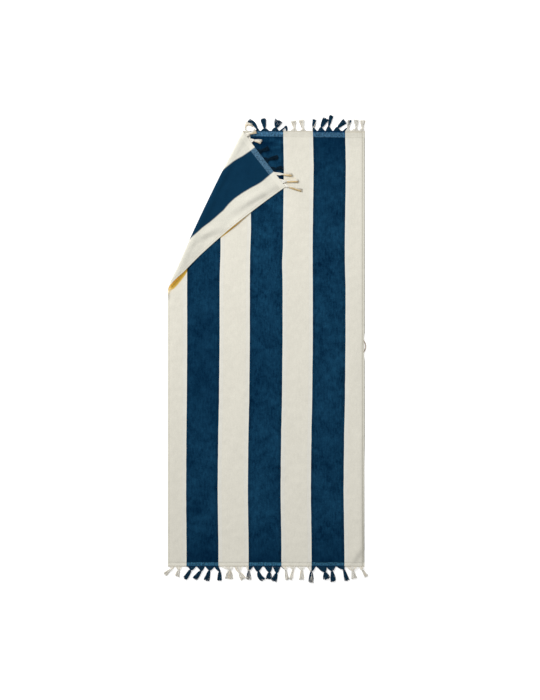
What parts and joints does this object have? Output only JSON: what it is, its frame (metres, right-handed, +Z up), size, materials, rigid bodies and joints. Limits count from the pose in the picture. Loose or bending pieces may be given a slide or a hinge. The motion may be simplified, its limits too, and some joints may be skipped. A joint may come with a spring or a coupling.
{
  "type": "bath sheet",
  "caption": "Large striped terry bath sheet with tasselled fringes at both ends, lying flat with one corner turned over, and a small hanging loop on one edge.",
  "frame": {"origin": "middle of the cloth's underside, where it lies on a surface", "axes": "+X towards the side edge with the hanging loop, +Y along the sheet towards the end with the turned-over corner, +Z up"},
  "size_m": [0.8323, 1.9059, 0.0193],
  "materials": {
    "terry": "striped cotton terry, navy and cream, cut pile on the front and loops on the reverse",
    "yarn": "twisted cotton yarn, navy or cream by the stripe it leaves",
    "loop": "matt brown"
  },
  "bodies": {
    "root": {"towel_cloth": "terry", "fringe_bottom": "yarn", "fringe_top": "yarn", "fringe_corner": "yarn", "hang_loop": "loop"}
  },
  "joints": []
}
